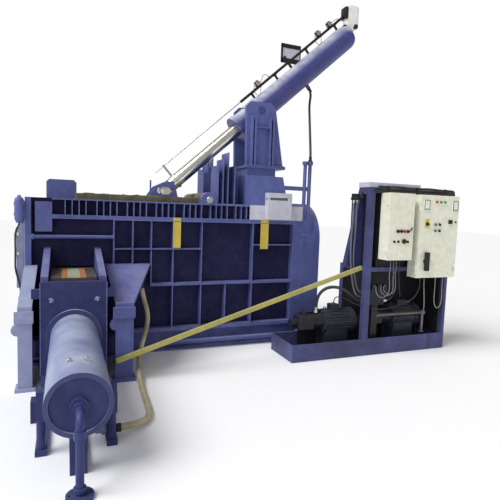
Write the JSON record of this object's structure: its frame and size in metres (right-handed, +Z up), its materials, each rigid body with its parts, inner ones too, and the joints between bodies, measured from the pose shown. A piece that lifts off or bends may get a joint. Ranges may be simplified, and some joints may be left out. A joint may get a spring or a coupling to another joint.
{
  "type": "recycling baler",
  "caption": "Hydraulic scrap-metal baling press with a swing lid, main ram, side ejection ram, bale gate and a separate power unit.",
  "frame": {"origin": "on the floor, midway between the four anchor holes of the floor frame", "axes": "+X along the press towards the power unit, +Z up, the side cylinder stands on the -Y side"},
  "size_m": [4.762, 3.581, 4.3659],
  "materials": {
    "blue_paint": "worn semi-gloss paint",
    "light_blue_paint": "semi-gloss paint",
    "worn_steel": "worn",
    "weathered_lid": "weathered and dirty",
    "chrome_rod": "polished",
    "machined_steel": "machined",
    "dark_steel": "oily",
    "motor_paint": "satin",
    "cream_paint": "powder coat",
    "pale_paint": "satin",
    "olive_paint": "satin",
    "cream_hose": "matt",
    "black_hose": "matt",
    "black_plastic": "satin",
    "red_plastic": "gloss",
    "green_plastic": "gloss"
  },
  "bodies": {
    "press": {"floor_frame": "blue_paint", "front_wall": "blue_paint", "rear_wall": "blue_paint", "front_stiffeners": "blue_paint", "rear_stiffeners": "blue_paint", "left_end_wall": "blue_paint", "chamber_covers": "blue_paint", "rear_crosshead": "blue_paint", "ram_trough": "blue_paint", "mounting_plate": "blue_paint", "right_leg": "blue_paint", "left_leg": "blue_paint", "cylinder_stand": "blue_paint", "gate_frame": "blue_paint", "hinge_brackets": "blue_paint", "pedestal_base": "blue_paint", "trunnion_pedestal": "blue_paint", "standpipes": "blue_paint", "tie_pipe": "blue_paint", "supply_pipe": "blue_paint", "unit_frame": "blue_paint", "main_cylinder_barrel": "blue_paint", "side_cylinder_cap": "blue_paint", "gate_cylinder": "blue_paint", "side_cylinder_barrel": "light_blue_paint", "chamber_floor": "worn_steel", "hinge_shaft": "machined_steel", "hydraulic_pumps": "dark_steel", "valve_block": "dark_steel", "oil_tank": "dark_steel", "pump_motors": "motor_paint", "panel_cabinets": "cream_paint", "terminal_box": "pale_paint", "unit_cover": "pale_paint", "cable_duct": "olive_paint", "ram_hose": "cream_hose", "lid_hose": "black_hose"},
    "lid_body": {"lid": "weathered_lid", "lid_clevis": "worn_steel"},
    "lid_cylinder": {"lid_cylinder_barrel": "blue_paint", "position_indicator": "dark_steel"},
    "lid_rod_body": {"lid_rod": "chrome_rod", "indicator_rod": "machined_steel"},
    "main_ram": {"main_ram_head": "worn_steel", "main_ram_rod": "chrome_rod"},
    "side_ram": {"side_ram_head": "worn_steel", "side_ram_rod": "chrome_rod"},
    "gate": {"gate_leaf": "worn_steel"},
    "start_door": {"start_panel_door": "cream_paint"},
    "main_door": {"main_panel_door": "cream_paint"},
    "start_button_body": {"start_button": "black_plastic"},
    "reverse_button_body": {"reverse_button": "black_plastic"},
    "halt_button_body": {"halt_button": "red_plastic"},
    "jog_button_body": {"jog_button": "black_plastic"},
    "stop_button_body": {"stop_button": "black_plastic"},
    "lid_up_button_body": {"lid_up_button": "green_plastic"},
    "lid_down_button_body": {"lid_down_button": "black_plastic"},
    "ram_out_button_body": {"ram_out_button": "green_plastic"},
    "ram_back_button_body": {"ram_back_button": "black_plastic"},
    "isolator": {"isolator_handle": "black_plastic"}
  },
  "joints": [
    {"name": "lid_hinge", "type": "hinge", "parent": "press", "child": "lid_body", "pos_m": [0.34, 0, 1.7], "axis": [0, 1, 0], "range_deg": [0, 70]},
    {"name": "lid_cylinder_swing", "type": "hinge", "parent": "press", "child": "lid_cylinder", "pos_m": [1.04, 0, 2.8], "axis": [0, 1, 0], "range_deg": [0, 4.26], "deforming": ["lid_hose"]},
    {"name": "lid_rod_slide", "type": "slide", "parent": "lid_cylinder", "child": "lid_rod_body", "axis": [0.7431, 0, 0.6691], "range_m": [0, 0.5147]},
    {"name": "main_ram_slide", "type": "slide", "parent": "press", "child": "main_ram", "axis": [-1, 0, 0], "range_m": [0, 1.16]},
    {"name": "side_ram_slide", "type": "slide", "parent": "press", "child": "side_ram", "axis": [0, 1, 0], "range_m": [0, 0.7]},
    {"name": "gate_slide", "type": "slide", "parent": "press", "child": "gate", "axis": [0, 0, 1], "range_m": [0, 0.65]},
    {"name": "start_door_hinge", "type": "hinge", "parent": "press", "child": "start_door", "pos_m": [2.084, -1.39, 1.47], "axis": [0, 0, -1], "range_deg": [0, 110]},
    {"name": "main_door_hinge", "type": "hinge", "parent": "press", "child": "main_door", "pos_m": [2.507, -1.375, 1.37], "axis": [0, 0, -1], "range_deg": [0, 110]},
    {"name": "start_button_press", "type": "slide", "parent": "start_door", "child": "start_button_body", "axis": [0, 1, 0], "range_m": [0, 0.005], "stiffness_N_per_m": 400},
    {"name": "reverse_button_press", "type": "slide", "parent": "start_door", "child": "reverse_button_body", "axis": [0, 1, 0], "range_m": [0, 0.005], "stiffness_N_per_m": 400},
    {"name": "halt_button_press", "type": "slide", "parent": "start_door", "child": "halt_button_body", "axis": [0, 1, 0], "range_m": [0, 0.005], "stiffness_N_per_m": 400},
    {"name": "jog_button_press", "type": "slide", "parent": "start_door", "child": "jog_button_body", "axis": [0, 1, 0], "range_m": [0, 0.005], "stiffness_N_per_m": 400},
    {"name": "stop_button_press", "type": "slide", "parent": "start_door", "child": "stop_button_body", "axis": [0, 1, 0], "range_m": [0, 0.005], "stiffness_N_per_m": 400},
    {"name": "lid_up_button_press", "type": "slide", "parent": "main_door", "child": "lid_up_button_body", "axis": [0, 1, 0], "range_m": [0, 0.005], "stiffness_N_per_m": 400},
    {"name": "lid_down_button_press", "type": "slide", "parent": "main_door", "child": "lid_down_button_body", "axis": [0, 1, 0], "range_m": [0, 0.005], "stiffness_N_per_m": 400},
    {"name": "ram_out_button_press", "type": "slide", "parent": "main_door", "child": "ram_out_button_body", "axis": [0, 1, 0], "range_m": [0, 0.005], "stiffness_N_per_m": 400},
    {"name": "ram_back_button_press", "type": "slide", "parent": "main_door", "child": "ram_back_button_body", "axis": [0, 1, 0], "range_m": [0, 0.005], "stiffness_N_per_m": 400},
    {"name": "isolator_turn", "type": "hinge", "parent": "main_door", "child": "isolator", "pos_m": [2.625, -1.4, 1.09], "axis": [0, 1, 0], "range_deg": [0, 90]}
  ],
  "couplings": [
    {"joint": "lid_cylinder_swing", "follows": "lid_hinge", "ratio": 0.058},
    {"joint": "lid_rod_slide", "follows": "lid_hinge", "m_per_rad": 0.418}
  ]
}
